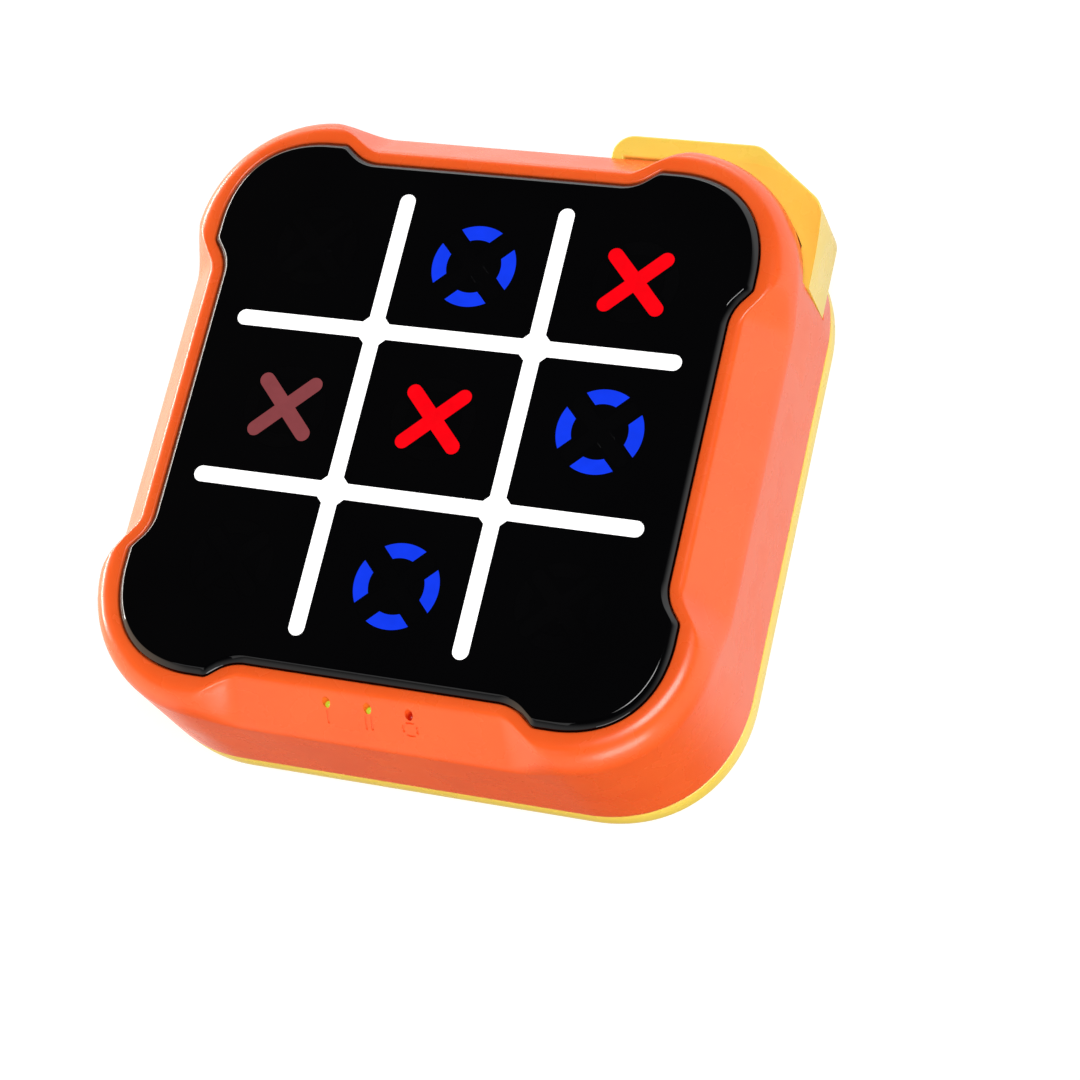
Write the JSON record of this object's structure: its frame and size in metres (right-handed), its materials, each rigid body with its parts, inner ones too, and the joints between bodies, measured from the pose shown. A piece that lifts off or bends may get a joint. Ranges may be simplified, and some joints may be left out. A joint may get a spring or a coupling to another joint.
{
  "type": "handheld tic tac toe game",
  "caption": "Square handheld tic tac toe game with a black touch panel in a lobed orange case, a yellow back cover, a corner strap loop, a battery door and a slide switch.",
  "frame": {"origin": "on the flat outer face of the battery door, in the middle of the back, where the game rests", "axes": "+Z out of the playing face, +X to its right, +Y to its top side, where the strap loop stands proud"},
  "size_m": [0.076, 0.0784, 0.0246],
  "materials": {
    "orange_abs": "moulded ABS, fine satin texture",
    "yellow_abs": "moulded ABS, fine satin texture",
    "black_acrylic": "polished black acrylic with a bevelled edge",
    "white_print": "white, flush in the panel, slightly lit from below",
    "red_lit": "clear window lit bright red",
    "red_dim": "clear window lit faintly red",
    "blue_lit": "clear window lit bright blue",
    "smoked_acrylic": "unlit smoked window, as dark as the panel",
    "film": "clear sensor film with fine conductors",
    "white_abs": "moulded white reflector",
    "circuit_board": "glass-filled board with green solder mask",
    "lens_green": "light pipe lit yellow-green",
    "lens_red": "light pipe lit red",
    "steel": "zinc-plated steel",
    "nickel_steel": "nickel-plated spring steel",
    "brass": "turned and knurled brass",
    "cell_wrap": "plain printed sleeve on a metal can",
    "red_wire": "red vinyl insulation",
    "black_wire": "black vinyl insulation",
    "black_nylon": "moulded black nylon"
  },
  "bodies": {
    "case": {"top_case": "orange_abs", "back_cover": "yellow_abs", "strap_loop": "yellow_abs", "front_panel": "black_acrylic", "grid_inlay": "white_print", "x_mark_top_left": "smoked_acrylic", "o_mark_top_left": "smoked_acrylic", "x_mark_top_centre": "smoked_acrylic", "o_mark_top_centre": "blue_lit", "x_mark_top_right": "red_lit", "o_mark_top_right": "smoked_acrylic", "x_mark_middle_left": "red_dim", "o_mark_middle_left": "smoked_acrylic", "x_mark_middle_centre": "red_lit", "o_mark_middle_centre": "smoked_acrylic", "x_mark_middle_right": "smoked_acrylic", "o_mark_middle_right": "blue_lit", "x_mark_bottom_left": "smoked_acrylic", "o_mark_bottom_left": "smoked_acrylic", "x_mark_bottom_centre": "smoked_acrylic", "o_mark_bottom_centre": "blue_lit", "x_mark_bottom_right": "smoked_acrylic", "o_mark_bottom_right": "smoked_acrylic", "touch_film": "film", "light_box": "white_abs", "main_board": "circuit_board", "status_lens_one_player": "lens_green", "status_lens_two_player": "lens_green", "status_lens_power": "lens_red", "board_screw_top_right": "steel", "board_screw_top_left": "steel", "board_screw_bottom_left": "steel", "board_screw_bottom_right": "steel", "case_screw_top_right": "steel", "case_screw_top_left": "steel", "case_screw_bottom_left": "steel", "case_screw_bottom_right": "steel", "door_insert": "brass", "battery_left": "cell_wrap", "battery_middle": "cell_wrap", "battery_right": "cell_wrap", "contact_positive": "nickel_steel", "contact_negative": "nickel_steel", "contact_link_top": "nickel_steel", "contact_link_bottom": "nickel_steel", "wire_positive": "red_wire", "wire_negative": "black_wire", "switch_body": "black_nylon", "sounder": "black_nylon"},
    "battery_door": {"battery_door": "yellow_abs"},
    "door_screw": {"door_screw": "steel"},
    "mode_switch": {"switch_knob": "black_nylon"}
  },
  "joints": [
    {"name": "battery_door_hinge", "type": "hinge", "parent": "case", "child": "battery_door", "pos_m": [0, -0.0289, 0], "axis": [-1, 0, 0], "range_deg": [0, 40]},
    {"name": "door_screw_slide", "type": "slide", "parent": "battery_door", "child": "door_screw", "axis": [0, 0, -1], "range_m": [0, 0.0045]},
    {"name": "mode_switch_slide", "type": "slide", "parent": "case", "child": "mode_switch", "axis": [0, 1, 0], "range_m": [-0.002, 0.002]}
  ]
}
